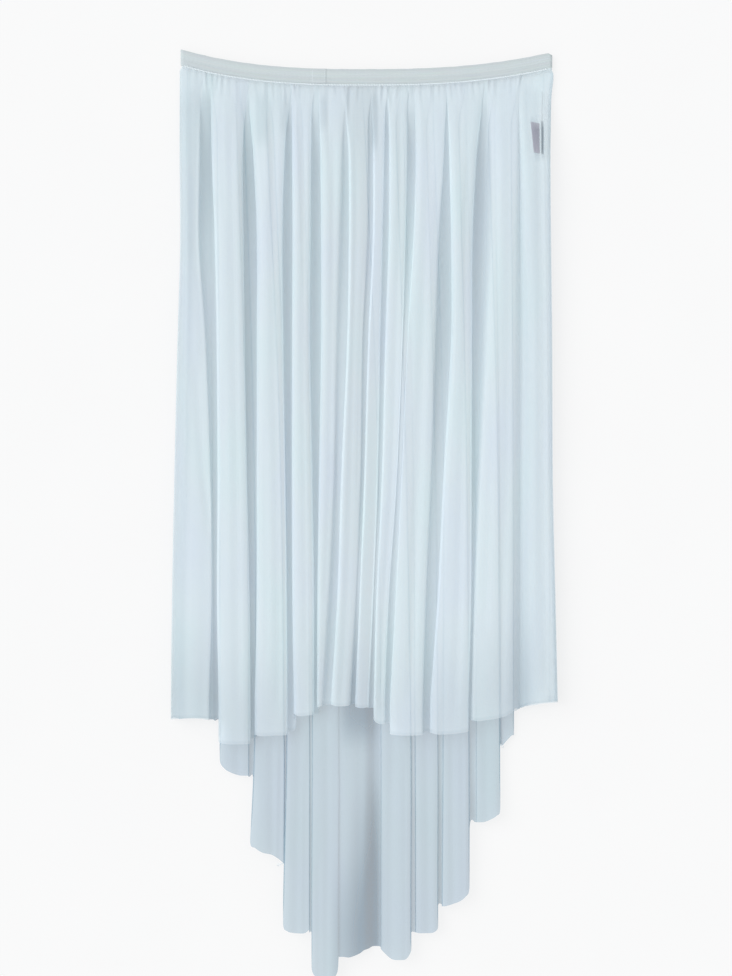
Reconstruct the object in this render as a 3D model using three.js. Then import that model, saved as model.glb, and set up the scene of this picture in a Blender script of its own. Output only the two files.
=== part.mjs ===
// A pull-on dance skirt in sheer mesh, laid out flat on a table, in millimetres, +Z up.
// The origin is under the middle of the laid-out skirt, the waist is towards +Y, and +X is
// to the right of somebody who looks down on its front. A narrow elastic loop holds two
// gathered panels, a short front and a long pointed back, joined at the side seams. Each
// panel falls in rounded folds, with a crown on top of each fold and a hollow between two.
import * as THREE from "three";

// Driving dimensions.
const WAIST_WIDTH = 338; // elastic laid flat, from fold to fold
const ELASTIC_HEIGHT = 13.4;
const ELASTIC_THICK = 1.1;
const CLOTH = 1.0; // thickness of a cloth wall
const SEAM_GAP = 0.3; // between pieces that are sewn to each other
const WAIST_Y = 405; // the elastic's top edge at its middle
const WAIST_RISE = { left: 17, right: 13.6 }; // how far its ends stand above that
const RISE_POWER = { left: 2.8, right: 2.4 };
const TUCK = 10; // how far the gathered edge reaches up inside the elastic

// Heights over the table of the middle of each cloth wall.
const RIPPLE_IN_BAND = 0.15; // half of the little gathers' depth inside the elastic
const BACK_LOW = CLOTH / 2;
const BACK_CROWN_UNDER_FRONT = 9;
const BACK_CROWN_FREE = 14;
const BACK_IN_BAND = ELASTIC_THICK + SEAM_GAP + CLOTH / 2 + RIPPLE_IN_BAND;
const FRONT_IN_BAND = BACK_IN_BAND + CLOTH + SEAM_GAP + 2 * RIPPLE_IN_BAND;
const BAND_DEPTH = FRONT_IN_BAND + BACK_IN_BAND; // the elastic loop, floor to top
const FRONT_LOW = BACK_CROWN_UNDER_FRONT + CLOTH + 0.4;
const FRONT_CROWN = FRONT_LOW + 14;
const SIDE_SEAM_HIGH = 7;
const HEM_FREE_FROM = { start: -232, end: -275 }; // Y over which the back's folds rise

// Shape of one fold, as shares of its width or height.
const SHOULDER_IN = 0.16; // crown's shoulder, in from its edge
const CROWN_IN = 0.37; // top of the crown, in from its edge
const SHOULDER_UP = 0.93;
const LIP_UP = { crisp: 0.68, soft: 0.78 }; // height of the crown's widest point
const WALL_UP = 0.3;
const UNDERCUT = 2.2; // mm that a crisp fold tucks in under its own edge
const SOFT_REACH = 0.34; // share of a hollow's width that a soft side slopes over
const HEM_DIP = 1.5; // mm that a crown's hem hangs under its edges

// How the folds come out of the elastic, in mm under it.
const FULL_HEIGHT_AFTER = 165;
const ON_TABLE_AFTER = 50;
const SIDE_OPENS = 40;
const RIPPLE_UNDER_BAND = 1.3; // depth of the little gathers just under the elastic
const RIPPLE_FADES = { from: 8, to: 40 };

// Y of the four levels at which the folds' edges are given.
const FRONT_LEVELS = [368, 268, 76, -169];
const BACK_LEVELS = [368, 76, -197, -351];

// Front crowns from left to right. left and right are the edges of the crown at the four
// levels, and hem is the Y of the hem at its left and right edge.
const FRONT_CROWNS = [
  { left: [-168, -168.5, -174, -176], right: [-149, -151, -142.5, -141], hem: [-186, -186] },
  { left: [-140, -137, -134, -133], right: [-110, -111, -107, -104], hem: [-207, -209] },
  { left: [-106, -98, -98, -99], right: [-72.5, -75, -72.5, -71], hem: [-200, -201] },
  { left: [-67, -66, -66.5, -65.5], right: [-48, -49, -48, -45.5], hem: [-182, -182] },
  { left: [-43, -39.5, -41, -43], right: [-21.5, -22.5, -26, -31], hem: [-175, -173] },
  { left: [-16.5, -13, -19.5, -29], right: [2, 1, -2.5, -12.5], hem: [-174, -172] },
  { left: [5.5, 7.5, 0, -8], right: [17, 15.5, 14, 4], hem: [-174, -175] },
  { left: [21.5, 20.5, 17, 8], right: [39, 37.5, 31.5, 20], hem: [-187, -189.5] },
  { left: [44.5, 43, 33.5, 23.5], right: [72, 67.5, 61.5, 51], hem: [-199, -200] },
  { left: [76, 79, 74.5, 60], right: [105, 99, 97.5, 93.5], hem: [-199, -196] },
  { left: [113, 113.5, 107, 96.5], right: [130.5, 131.5, 133.5, 135], hem: [-187, -184] },
  { left: [141.5, 143.5, 147, 149], right: [169.5, 169, 172, 175.5], hem: [-175, -171] },
];

// Front hollows, each to the right of the crown with the same number. depth is how far it
// lies under the crowns at the four levels, soft how gently it rises to the left and to the
// right, opens how far under the elastic it has opened, and hem the Y of its hem.
const FRONT_HOLLOWS = [
  { depth: [11, 12, 11, 11], soft: [0.4, 0.0], opens: 60, hem: -187 },
  { depth: [12, 14, 14, 13], soft: [0.2, 0.1], opens: 44, hem: -204 },
  { depth: [12, 13, 13, 11], soft: [0.1, 0.0], opens: 40, hem: -197 },
  { depth: [11, 13, 13, 10], soft: [0.1, 0.1], opens: 46, hem: -181 },
  { depth: [7, 8, 8, 8], soft: [0.6, 0.0], opens: 55, hem: -173 },
  { depth: [6, 7, 8, 9], soft: [0.3, 0.1], opens: 40, hem: -173 },
  { depth: [9, 9, 8, 9], soft: [0.1, 0.1], opens: 16, hem: -176 },
  { depth: [11, 11, 8, 8], soft: [0.1, 0.2], opens: 26, hem: -190 },
  { depth: [12, 12, 13, 12], soft: [0.4, 0.0], opens: 40, hem: -198 },
  { depth: [12, 13, 12, 10], soft: [0.0, 0.7], opens: 55, hem: -187 },
  { depth: [4, 4, 5, 7], soft: [0.9, 1.0], opens: 80, hem: -179 },
];

// Back crowns in the same way. height is how high the crown stands, as a share.
const BACK_CROWNS = [
  { left: [-162, -166, -169, -169], right: [-142, -139, -137, -137], hem: [-181, -181], height: 0.8 },
  { left: [-135, -132.5, -131, -129.5], right: [-117, -108, -106, -106], hem: [-227, -238], height: 0.9 },
  { left: [-110.5, -101.5, -99, -103.5], right: [-89.5, -77, -74, -74], hem: [-302, -317], height: 0.9 },
  { left: [-84, -73, -70.5, -73.5], right: [-62, -53, -51.5, -51.5], hem: [-374, -380], height: 0.95 },
  { left: [-57, -48.5, -47, -48], right: [-35, -27, -24, -24], hem: [-416, -422], height: 1 },
  { left: [-30.5, -22, -22, -22], right: [-8.5, -0.5, 1, -0.5], hem: [-403, -400], height: 0.36 },
  { left: [-0.5, 11.5, 15, 15], right: [28.5, 37.5, 42, 42.5], hem: [-403, -395], height: 1 },
  { left: [35, 44, 47, 47], right: [56, 64, 66, 67], hem: [-380, -376], height: 0.75 },
  { left: [62.5, 71.5, 72.5, 70.5], right: [86, 93, 95, 95.5], hem: [-356, -344], height: 0.95 },
  { left: [92.5, 100.5, 102.5, 102.5], right: [112.5, 121.5, 123.5, 123.5], hem: [-280, -271], height: 0.9 },
  { left: [118.5, 125, 126.5, 126.5], right: [134, 136, 136.5, 136.5], hem: [-213, -203], height: 0.8 },
  { left: [141.5, 141.5, 141.5, 141.5], right: [164, 168, 169, 169], hem: [-165, -165], height: 0.7 },
];

// Back hollows, which lie on the table.
const BACK_HOLLOWS = [
  { soft: [0.2, 0.1], opens: 55, hem: -184 },
  { soft: [0.1, 0.1], opens: 44, hem: -240 },
  { soft: [0.0, 0.1], opens: 48, hem: -318 },
  { soft: [0.0, 0.1], opens: 40, hem: -381 },
  { soft: [0.3, 1.0], opens: 50, hem: -403 },
  { soft: [1.0, 0.1], opens: 36, hem: -395 },
  { soft: [0.1, 0.2], opens: 40, hem: -381 },
  { soft: [0.2, 0.1], opens: 46, hem: -356 },
  { soft: [0.1, 0.2], opens: 42, hem: -281 },
  { soft: [0.2, 0.2], opens: 54, hem: -213 },
  { soft: [0.1, 0.3], opens: 50, hem: -176 },
];

// Where the cross-sections are: mm under the elastic, then shares of the rest to the hem.
const SECTIONS = {
  front: { under: [6, 15, 30, 55, 95, 160, 250, 350, 450], toHem: [1] },
  back: { under: [6, 15, 30, 55, 95, 160, 300, 440], toHem: [0.3, 0.6, 1] },
};

// The care label hangs from the right side seam under the front's last crown. Its corners
// and bends are places between the front's own points: down counts the panel's rows from the
// tucked edge, and across counts the eight points over the crown.
const LABEL = { down: [4.72, 5, 5.62], across: [2.8, 3, 4, 4.6] };

const mix = (a, b, share) => a + (b - a) * share;
const ease = (from, to, value) => THREE.MathUtils.smoothstep(value, from, to);

// Y of the elastic's top edge, which dips in the middle.
function waistLine(x) {
  const side = x < 0 ? "left" : "right";
  return WAIST_Y + WAIST_RISE[side] * (Math.abs(2 * x) / WAIST_WIDTH) ** RISE_POWER[side];
}

const bandEdge = (x) => waistLine(x) - ELASTIC_HEIGHT;

// A smooth curve through the values that a table gives at falling levels of Y.
function atLevel(levels, values, y) {
  const last = levels.length - 1;
  if (y >= levels[0]) return values[0];
  if (y <= levels[last]) return values[last];
  const i = levels.findIndex((_, k) => y > levels[k + 1]);
  const slope = (k) => {
    const [a, b] = [Math.max(k - 1, 0), Math.min(k + 1, last)];
    return (values[b] - values[a]) / (levels[b] - levels[a]);
  };
  const step = levels[i + 1] - levels[i];
  const s = (y - levels[i]) / step;
  return (
    values[i] * (1 + 2 * s) * (1 - s) ** 2 +
    step * slope(i) * s * (1 - s) ** 2 +
    values[i + 1] * (3 - 2 * s) * s ** 2 -
    step * slope(i + 1) * (1 - s) * s ** 2
  );
}

// One panel's cross-section where its folds are fully open: points from left to right, each
// with a place x, the height top of its crown and how far the point drops under it.
function openFolds({ crowns, hollows, levels, crownTop, hollowDrop, sideDrop }, y) {
  const edge = CLOTH / 2;
  const left = (i) => atLevel(levels, crowns[i].left, y) + edge;
  const right = (i) => atLevel(levels, crowns[i].right, y) - edge;
  const inwards = (i, side) => {
    const hollow = hollows[i];
    if (!hollow) return { drop: sideDrop, opens: SIDE_OPENS, tuck: 0, soft: 0 };
    const [soft, wide] = [hollow.soft[side], left(i + 1) - right(i)];
    const tuck = mix(UNDERCUT, -SOFT_REACH * wide, soft);
    return { drop: hollowDrop(i, y), opens: hollow.opens, tuck, soft };
  };
  return crowns.flatMap((crown, i) => {
    const top = crownTop(i, y);
    const [a, b, before, after] = [left(i), right(i), inwards(i - 1, 1), inwards(i, 0)];
    const shoulder = SHOULDER_IN * (b - a);
    const round = CROWN_IN * (b - a);
    const lip = (hollow) => mix(LIP_UP.crisp, LIP_UP.soft, hollow.soft);
    const point = (x, up, { drop, opens }) => ({ x, top, drop: drop * (1 - up), opens });
    const points = [
      point(a + before.tuck, WALL_UP, before),
      point(a, lip(before), before),
      point(a + shoulder, SHOULDER_UP, before),
      point(a + round, 1, before),
      point(b - round, 1, after),
      point(b - shoulder, SHOULDER_UP, after),
      point(b, lip(after), after),
      point(b - after.tuck, WALL_UP, after),
    ];
    if (!hollows[i]) return points;
    const next = left(i + 1) + inwards(i, 1).tuck;
    for (const share of [0.2, 0.8]) points.push(point(mix(b - after.tuck, next, share), 0, after));
    return points;
  });
}

// A point of a side edge, which only rises from the elastic to its height.
const sidePoint = (x, z) => ({ x, top: z, drop: 0, opens: SIDE_OPENS });

const FRONT = {
  crowns: FRONT_CROWNS,
  hollows: FRONT_HOLLOWS,
  levels: FRONT_LEVELS,
  sections: SECTIONS.front,
  outward: 1,
  inBand: FRONT_IN_BAND,
  low: FRONT_LOW,
  lowAfter: FULL_HEIGHT_AFTER,
  crownTop: () => FRONT_CROWN,
  hollowDrop: (i, y) => atLevel(FRONT_LEVELS, FRONT_HOLLOWS[i].depth, y),
  sideDrop: FRONT_CROWN - SIDE_SEAM_HIGH,
  sidePoints: 0,
  folds(y) {
    const points = openFolds(this, y);
    for (const i of [0, points.length - 1])
      points[i] = sidePoint(points[i].x, SIDE_SEAM_HIGH + SEAM_GAP / 2);
    return points;
  },
};

const BACK = {
  crowns: BACK_CROWNS,
  hollows: BACK_HOLLOWS,
  levels: BACK_LEVELS,
  sections: SECTIONS.back,
  outward: -1,
  inBand: BACK_IN_BAND,
  low: BACK_LOW,
  lowAfter: ON_TABLE_AFTER,
  crownTop: (i, y) => {
    const free = 1 - ease(HEM_FREE_FROM.end, HEM_FREE_FROM.start, y);
    const rise = mix(BACK_CROWN_UNDER_FRONT, BACK_CROWN_FREE, free) - BACK_LOW;
    return BACK_LOW + rise * BACK_CROWNS[i].height;
  },
  hollowDrop: (i, y) => BACK.crownTop(i, y) - BACK_LOW,
  sidePoints: 3,
  folds(y) {
    const bend = 2;
    const [from, to] = [FRONT.folds(y)[0].x, FRONT.folds(y).at(-1).x];
    const side = (x, inwards) => [
      sidePoint(x, SIDE_SEAM_HIGH - SEAM_GAP / 2),
      sidePoint(x, BACK_LOW + bend),
      sidePoint(x + inwards * bend, BACK_LOW),
    ];
    const ends = [0, BACK_CROWNS.length - 1].map((i) => BACK.crownTop(i, y) - BACK_LOW);
    const points = openFolds({ ...this, sideDrop: Math.min(...ends) }, y);
    return [...side(from, 1), ...points, ...side(to, -1).reverse()];
  },
};

// Places of a panel's points inside the elastic, evenly over the width of each fold.
function placesInBand({ crowns, sidePoints }) {
  const half = WAIST_WIDTH / 2 - BAND_DEPTH / 2;
  const middles = crowns.slice(1).map((crown, i) => (crown.left[0] + crowns[i].right[0]) / 2);
  const bounds = [-half, ...middles, half];
  return crowns.flatMap((_, i) => {
    const [first, last] = [i === 0, i === crowns.length - 1];
    const count = first || last ? 9 + sidePoints : 10;
    const before = first ? 0 : 0.5;
    const spaces = first || last ? count - 0.5 : count;
    return Array.from({ length: count }, (_, k) =>
      mix(bounds[i], bounds[i + 1], (k + before) / spaces),
    );
  });
}

// The height of a point, and the little gathers that the elastic draws the cloth into.
function pointAt(panel, places, i, y) {
  const p = panel.folds(y)[i];
  const under = bandEdge(places[i]) - y;
  const opened = ease(1, p.opens, under);
  const full = ease(1, FULL_HEIGHT_AFTER, under) ** 0.7;
  const lowest = mix(panel.inBand, panel.low, ease(1, panel.lowAfter, under) ** 0.7);
  const open = mix(panel.inBand, p.top, full) - p.drop * opened;
  const fades = 1 - ease(RIPPLE_FADES.from, RIPPLE_FADES.to, under);
  const depth = mix(RIPPLE_IN_BAND, RIPPLE_UNDER_BAND, ease(1, 6, under)) * fades;
  const atSide = i === 0 || i === places.length - 1;
  const ripple = atSide ? 0 : panel.outward * (i % 2 ? depth : -RIPPLE_IN_BAND * fades);
  const z = p.drop === 0 ? open : Math.max(open, lowest);
  return new THREE.Vector3(mix(places[i], p.x, opened), y, Math.max(z + ripple, BACK_LOW));
}

// Y of the hem at each point: level along a crown and a hollow, with the step between the
// two in the wall of the fold.
function hemLine({ crowns, hollows, sidePoints }) {
  const hems = crowns.flatMap((crown, i) => {
    const [a, b] = crown.hem;
    const [before, after] = [hollows[i - 1]?.hem ?? a, hollows[i]?.hem ?? b];
    const over = [0.2, 0.4, 0.6, 0.8].map((share) => mix(a, b, share) - HEM_DIP);
    const points = [mix(before, a, 0.5), a, ...over, b, mix(b, after, 0.5)];
    return hollows[i] ? [...points, after, after] : points;
  });
  const side = (hem) => Array(sidePoints).fill(hem);
  return [...side(FRONT_CROWNS[0].hem[0]), ...hems, ...side(FRONT_CROWNS.at(-1).hem[1])];
}

// Rows of points down a panel, from the edge tucked inside the elastic to the hem.
function panelRows(panel) {
  const places = placesInBand(panel);
  const edges = places.map(bandEdge);
  const hems = hemLine(panel);
  const { under, toHem } = panel.sections;
  const row = (levels) => levels.map((y, i) => pointAt(panel, places, i, y));
  return [
    ...[-TUCK, 0.5, ...under].map((down) => row(edges.map((y) => y - down))),
    ...toHem.map((share) => row(edges.map((y, i) => mix(y - under.at(-1), hems[i], share)))),
  ];
}

// A cloth wall: each row of middle points is moved out to both faces, square to the row.
function wallFaces(rows, thick, offset = 0) {
  const square = (row, i) => {
    const step = (k) => row[k + 1].clone().sub(row[k]).setY(0).normalize();
    const u = step(Math.max(i - 1, 0));
    const v = step(Math.min(i, row.length - 2));
    const middle = u.clone().add(v).normalize();
    return new THREE.Vector3(-middle.z, 0, middle.x).divideScalar(Math.max(middle.dot(u), 0.7));
  };
  const face = (distance) =>
    rows.map((row) =>
      row.map((p, i) => {
        const moved = p.clone().addScaledVector(square(row, i), distance);
        return moved.setZ(Math.max(moved.z, 0));
      }),
    );
  return [face(offset + thick / 2), face(offset - thick / 2)];
}

// A closed solid between an upper and a lower grid of points, with a rim all round.
function solidBetween(upper, lower) {
  const [height, width] = [upper.length, upper[0].length];
  const top = (r, c) => r * width + c;
  const bottom = (r, c) => height * width + top(r, c);
  const faces = [];
  const quad = (a, b, c, d) => faces.push(a, b, c, a, c, d);
  for (let r = 0; r < height - 1; r++)
    for (let c = 0; c < width - 1; c++) {
      quad(top(r, c), top(r + 1, c), top(r + 1, c + 1), top(r, c + 1));
      quad(bottom(r, c), bottom(r, c + 1), bottom(r + 1, c + 1), bottom(r + 1, c));
    }
  for (let c = 0; c < width - 1; c++) {
    const r = height - 1;
    quad(top(0, c), top(0, c + 1), bottom(0, c + 1), bottom(0, c));
    quad(top(r, c), bottom(r, c), bottom(r, c + 1), top(r, c + 1));
  }
  for (let r = 0; r < height - 1; r++) {
    const c = width - 1;
    quad(top(r, 0), bottom(r, 0), bottom(r + 1, 0), top(r + 1, 0));
    quad(top(r, c), top(r + 1, c), bottom(r + 1, c), bottom(r, c));
  }
  return geometryOf([...upper.flat(), ...lower.flat()], faces);
}

function geometryOf(vertices, faces) {
  const geometry = new THREE.BufferGeometry().setFromPoints(vertices);
  geometry.setIndex(faces);
  geometry.computeVertexNormals();
  return geometry;
}

// The elastic: one loop, folded flat, whose edges follow the line of the waist.
function elasticLoop() {
  const straight = 26;
  const arc = 6;
  const middle = BAND_DEPTH / 2;
  const outline = (inset) => {
    const radius = middle - inset;
    const reach = WAIST_WIDTH / 2 - middle;
    const half = [];
    for (let i = 0; i < straight; i++) half.push([mix(-reach, reach, i / straight), radius]);
    for (let i = 0; i < arc; i++) {
      const turn = (Math.PI * i) / arc;
      half.push([reach + radius * Math.sin(turn), radius * Math.cos(turn)]);
    }
    return [...half, ...half.map(([x, z]) => [-x, -z])];
  };
  const ring = (inset, down) =>
    outline(inset).map(([x, z]) => new THREE.Vector3(x, waistLine(x) - down, middle + z));
  const rings = [
    ring(0, 0),
    ring(0, ELASTIC_HEIGHT),
    ring(ELASTIC_THICK, ELASTIC_HEIGHT),
    ring(ELASTIC_THICK, 0),
  ];
  const count = rings[0].length;
  const faces = [];
  rings.forEach((_, r) => {
    const next = (r + 1) % rings.length;
    for (let i = 0; i < count; i++) {
      const j = (i + 1) % count;
      const [a, b, c, d] = [r * count + i, next * count + i, next * count + j, r * count + j];
      faces.push(a, b, c, a, c, d);
    }
  });
  return geometryOf(rings.flat(), faces);
}

// The care label follows the underside of the front's last crown, a seam gap under it.
function careLabel(panel) {
  const firstPoint = panel[0].length - 8;
  const between = (row, place) => {
    const i = Math.floor(place);
    return row[i].clone().lerp(row[i + 1], place - i);
  };
  const rows = LABEL.down.map((down) => {
    const r = Math.floor(down);
    return LABEL.across.map((across) => {
      const [above, under] = [panel[r], panel[r + 1]].map((row) => between(row, firstPoint + across));
      return above.lerp(under, down - r);
    });
  });
  const [upper, lower] = wallFaces(rows, CLOTH, -(CLOTH + 1.5 * SEAM_GAP));
  return solidBetween(upper, lower);
}

const meshCloth = new THREE.MeshStandardMaterial({
  color: "#d3e3ea",
  roughness: 0.75,
  side: THREE.DoubleSide,
});
const elastic = new THREE.MeshStandardMaterial({ color: "#d2d8da", roughness: 0.6 });
const labelSatin = new THREE.MeshStandardMaterial({ color: "#9d95a6", roughness: 0.5 });

function piece(name, geometry, material) {
  const mesh = new THREE.Mesh(geometry, material);
  mesh.name = name;
  return mesh;
}

const frontRows = panelRows(FRONT);
const backRows = panelRows(BACK);

const skirt = new THREE.Group();
skirt.add(piece("waist_elastic", elasticLoop(), elastic));
skirt.add(piece("front_panel", solidBetween(...wallFaces(frontRows, CLOTH)), meshCloth));
skirt.add(piece("back_panel", solidBetween(...wallFaces(backRows, CLOTH)), meshCloth));
skirt.add(piece("care_label", careLabel(frontRows), labelSatin));

export default skirt;
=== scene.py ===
import random

import bpy
import numpy as np
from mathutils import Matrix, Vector


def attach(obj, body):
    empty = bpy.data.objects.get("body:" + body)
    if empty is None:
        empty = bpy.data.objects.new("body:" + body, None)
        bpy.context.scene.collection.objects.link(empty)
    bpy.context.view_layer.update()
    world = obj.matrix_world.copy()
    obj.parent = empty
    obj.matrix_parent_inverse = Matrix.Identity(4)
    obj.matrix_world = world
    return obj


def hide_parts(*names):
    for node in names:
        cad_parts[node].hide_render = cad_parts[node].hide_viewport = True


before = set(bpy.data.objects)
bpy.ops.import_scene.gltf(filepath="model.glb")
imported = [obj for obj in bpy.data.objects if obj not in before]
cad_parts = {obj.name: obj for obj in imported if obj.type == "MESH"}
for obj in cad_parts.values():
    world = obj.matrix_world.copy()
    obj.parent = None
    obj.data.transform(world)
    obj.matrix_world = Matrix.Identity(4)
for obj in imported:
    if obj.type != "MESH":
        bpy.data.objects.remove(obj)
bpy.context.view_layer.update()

scene = bpy.context.scene
MM = 0.001


# THE CAMERA AND THE TABLE. The skirt lies flat on a white acrylic top over a light table and
# is looked at from straight above, as under a copy stand's camera, in a pale room with a large
# soft light on its left.
def linear(hex_colour):
    """An sRGB hex colour as linear red, green, blue and alpha."""
    parts = [int(hex_colour[i : i + 2], 16) / 255 for i in (1, 3, 5)]
    return (*[p / 12.92 if p <= 0.04045 else ((p + 0.055) / 1.055) ** 2.4 for p in parts], 1)


def add_node(material, kind, inputs=None, links=None, **settings):
    """Adds a node with its settings, its inputs' values and the links into it."""
    made = material.node_tree.nodes.new("ShaderNode" + kind)
    for name, value in settings.items():
        setattr(made, name, value)
    for name, value in (inputs or {}).items():
        made.inputs[name].default_value = value
    for name, source in (links or {}).items():
        material.node_tree.links.new(source, made.inputs[name])
    return made


def new_material(name):
    """An empty material whose surface is still to be linked."""
    made = bpy.data.materials.new(name)
    made.use_nodes = True
    made.node_tree.nodes.clear()
    return made


def surface_from(material, shader):
    """Links a shader to the material's surface."""
    add_node(material, "OutputMaterial", links={"Surface": shader.outputs[0]})


camera_data = bpy.data.cameras.new("copy_stand")
camera_data.lens = 104.9
camera_data.sensor_width = 36
camera_data.clip_start = 0.01
camera = bpy.data.objects.new("copy_stand", camera_data)
camera.location = (0.0014, 0.0237, 2.6)
scene.collection.objects.link(camera)
scene.camera = camera
scene.view_settings.view_transform = "Standard"

bpy.ops.object.select_all(action="DESELECT")
bpy.ops.mesh.primitive_plane_add(size=8, location=(0, 0, -0.0004))
table = bpy.context.object
table.name = "table"
bpy.ops.object.transform_apply(location=True, rotation=True, scale=True)
# White acrylic over a light table: matt and even, and lit a little from below, so that what
# lies on it hardly throws a shadow.
acrylic = new_material("white acrylic")
place = add_node(acrylic, "TexCoord")
mottle = add_node(
    acrylic, "TexNoise", {"Scale": 9.0, "Detail": 2.0}, {"Vector": place.outputs["Object"]},
)
tint = add_node(acrylic, "ValToRGB", links={"Fac": mottle.outputs["Fac"]})
tint.color_ramp.elements[0].color = linear("#747474")
tint.color_ramp.elements[1].color = linear("#787878")
lit_acrylic = {
    "Roughness": 0.8, "Specular IOR Level": 0.2,
    "Emission Color": (1, 1, 1, 1), "Emission Strength": 0.74,
}
surface_from(
    acrylic,
    add_node(acrylic, "BsdfPrincipled", lit_acrylic, {"Base Color": tint.outputs["Color"]}),
)
table.data.materials.append(acrylic)

room = bpy.data.worlds.new("pale room")
room.use_nodes = True
pale = room.node_tree.nodes["Background"]
pale.inputs["Color"].default_value = (0.97, 0.985, 1.0, 1)
pale.inputs["Strength"].default_value = 0.8
scene.world = room


def soft_light(name, towards, spread, strength):
    """A large even light a long way off, in the direction towards it from the skirt."""
    data = bpy.data.lights.new(name, "SUN")
    data.angle, data.energy = spread, strength
    light = bpy.data.objects.new(name, data)
    light.location = towards
    light.rotation_euler = Vector(towards).to_track_quat("Z", "Y").to_euler()
    scene.collection.objects.link(light)


soft_light("soft_box_left", (-0.62, 0.3, 0.72), 0.85, 1.5)


# THE WAIST ELASTIC. One length of 13 mm woven elastic, lapped and joined into a loop, which
# lies folded flat at both sides. Its bands run lengthwise, and its lower edge is sewn to the
# gathered mesh.

# It is drawn a little higher than 13 mm, as its outline shows with its edges. Its top edge is
# at WAIST_Y in the middle and rises to both ends. All in mm.
WAIST_WIDTH, WAIST_MIDDLE, WAIST_Y = 339.4, 1.8, 405.9
WAIST_RISE, RISE_POWER = {"left": 18.2, "right": 15.6}, {"left": 2.7, "right": 2.5}
ELASTIC_HEIGHT, ELASTIC_THICK, BAND_DEPTH = 14.2, 1.1, 5.7
ROWS_DOWN, CUTS_ALONG = 8, 95


def waist_line(x):
    """Y of the elastic's top edge, which dips in the middle. All in mm."""
    x = np.asarray(x, float) - WAIST_MIDDLE
    left = WAIST_RISE["left"] * np.abs(2 * x / WAIST_WIDTH) ** RISE_POWER["left"]
    right = WAIST_RISE["right"] * np.abs(2 * x / WAIST_WIDTH) ** RISE_POWER["right"]
    return WAIST_Y + np.where(x < 0, left, right)


def ease(start, end, value):
    """Runs smoothly from 0 at start to 1 at end."""
    t = np.clip((np.asarray(value, float) - start) / (end - start), 0, 1)
    return t * t * (3 - 2 * t)


def thicken(piece, thick, edge=None):
    """Gives a piece a wall and, where edge is given, a pressed or worn edge. All in mm."""
    wall = piece.modifiers.new("wall", "SOLIDIFY")
    wall.thickness, wall.offset = thick * MM, -1
    if edge:
        pressed = piece.modifiers.new("pressed edge", "BEVEL")
        pressed.width, pressed.segments = edge * MM, 2
        pressed.limit_method, pressed.angle_limit = "ANGLE", 0.9
    for modifier in [m.name for m in piece.modifiers]:
        bpy.ops.object.modifier_apply(modifier=modifier)
    bpy.ops.object.shade_smooth()


bpy.ops.object.select_all(action="DESELECT")
radius = BAND_DEPTH / 2
bpy.ops.mesh.primitive_circle_add(
    vertices=24, radius=radius * MM, fill_type="NOTHING", location=(0, 0, 0)
)
waist = bpy.context.object
waist.name = "elastic_loop"
bpy.ops.object.mode_set(mode="EDIT")
# The circle stands on edge, so that its axis is along the skirt, and is pulled out sideways.
QUARTER_TURN = 1.5707963
bpy.ops.transform.rotate(value=QUARTER_TURN, orient_axis="X", center_override=(0, 0, 0))
bpy.ops.object.mode_set(mode="OBJECT")
reach = WAIST_WIDTH / 2 - radius
for v in waist.data.vertices:
    if abs(v.co.x) > 1e-5:
        v.co.x += reach * MM * (1 if v.co.x > 0 else -1)
# The long edges get the points that their curve needs.
bpy.ops.object.mode_set(mode="EDIT")
bpy.ops.mesh.select_mode(type="EDGE")
bpy.ops.mesh.select_all(action="DESELECT")
bpy.ops.object.mode_set(mode="OBJECT")
for e in waist.data.edges:
    a, b = (waist.data.vertices[i].co for i in e.vertices)
    e.select = abs(a.x - b.x) > 0.05
bpy.ops.object.mode_set(mode="EDIT")
bpy.ops.mesh.subdivide(number_cuts=CUTS_ALONG)
bpy.ops.mesh.select_all(action="SELECT")
one_row = (0, -ELASTIC_HEIGHT / ROWS_DOWN * MM, 0)
for _ in range(ROWS_DOWN):
    bpy.ops.mesh.extrude_region_move(TRANSFORM_OT_translate={"value": one_row})
bpy.ops.object.mode_set(mode="OBJECT")

ring = waist.data
turns, downs = [], []
for v in ring.vertices:
    down = -v.co.y / MM
    x, z = v.co.x / MM, v.co.z / MM
    bend = np.arctan2(max(abs(x) - reach, 0), z)  # 0 on top, pi underneath
    side = 1 if x > 0 else -1
    if bend == 0:
        turns.append(x)
    elif abs(x) > reach:
        turns.append(side * (reach + radius * bend))
    else:
        turns.append(side * (2 * reach + radius * np.pi - abs(x)))
    downs.append(down)
    # The right end's top corner is pulled down a little.
    corner = 2.4 * float(ease(165.2, 169.6, x)) * (1 - down / ELASTIC_HEIGHT) ** 2
    stretch = 0.12 * np.sin(x * 0.37) * np.sin(x * 0.083 + 1)
    v.co.x += WAIST_MIDDLE * MM
    v.co.y = (float(waist_line(x + WAIST_MIDDLE)) - down - corner + stretch) * MM
    v.co.z = (z + radius + 0.06 * np.sin(x * 0.23)) * MM
whole_turn = 2 * (2 * reach + radius * np.pi)
weave = ring.uv_layers.new(name="weave")
for p in ring.polygons:
    along = [turns[ring.loops[i].vertex_index] for i in p.loop_indices]
    for i, a in zip(p.loop_indices, along):
        if a < max(along) - whole_turn / 2:
            a += whole_turn
        weave.data[i].uv = (a * MM, downs[ring.loops[i].vertex_index] * MM)
bpy.ops.object.mode_set(mode="EDIT")
bpy.ops.mesh.select_all(action="SELECT")
bpy.ops.mesh.normals_make_consistent(inside=False)
bpy.ops.object.mode_set(mode="OBJECT")
thicken(waist, ELASTIC_THICK, 0.3)

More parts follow.
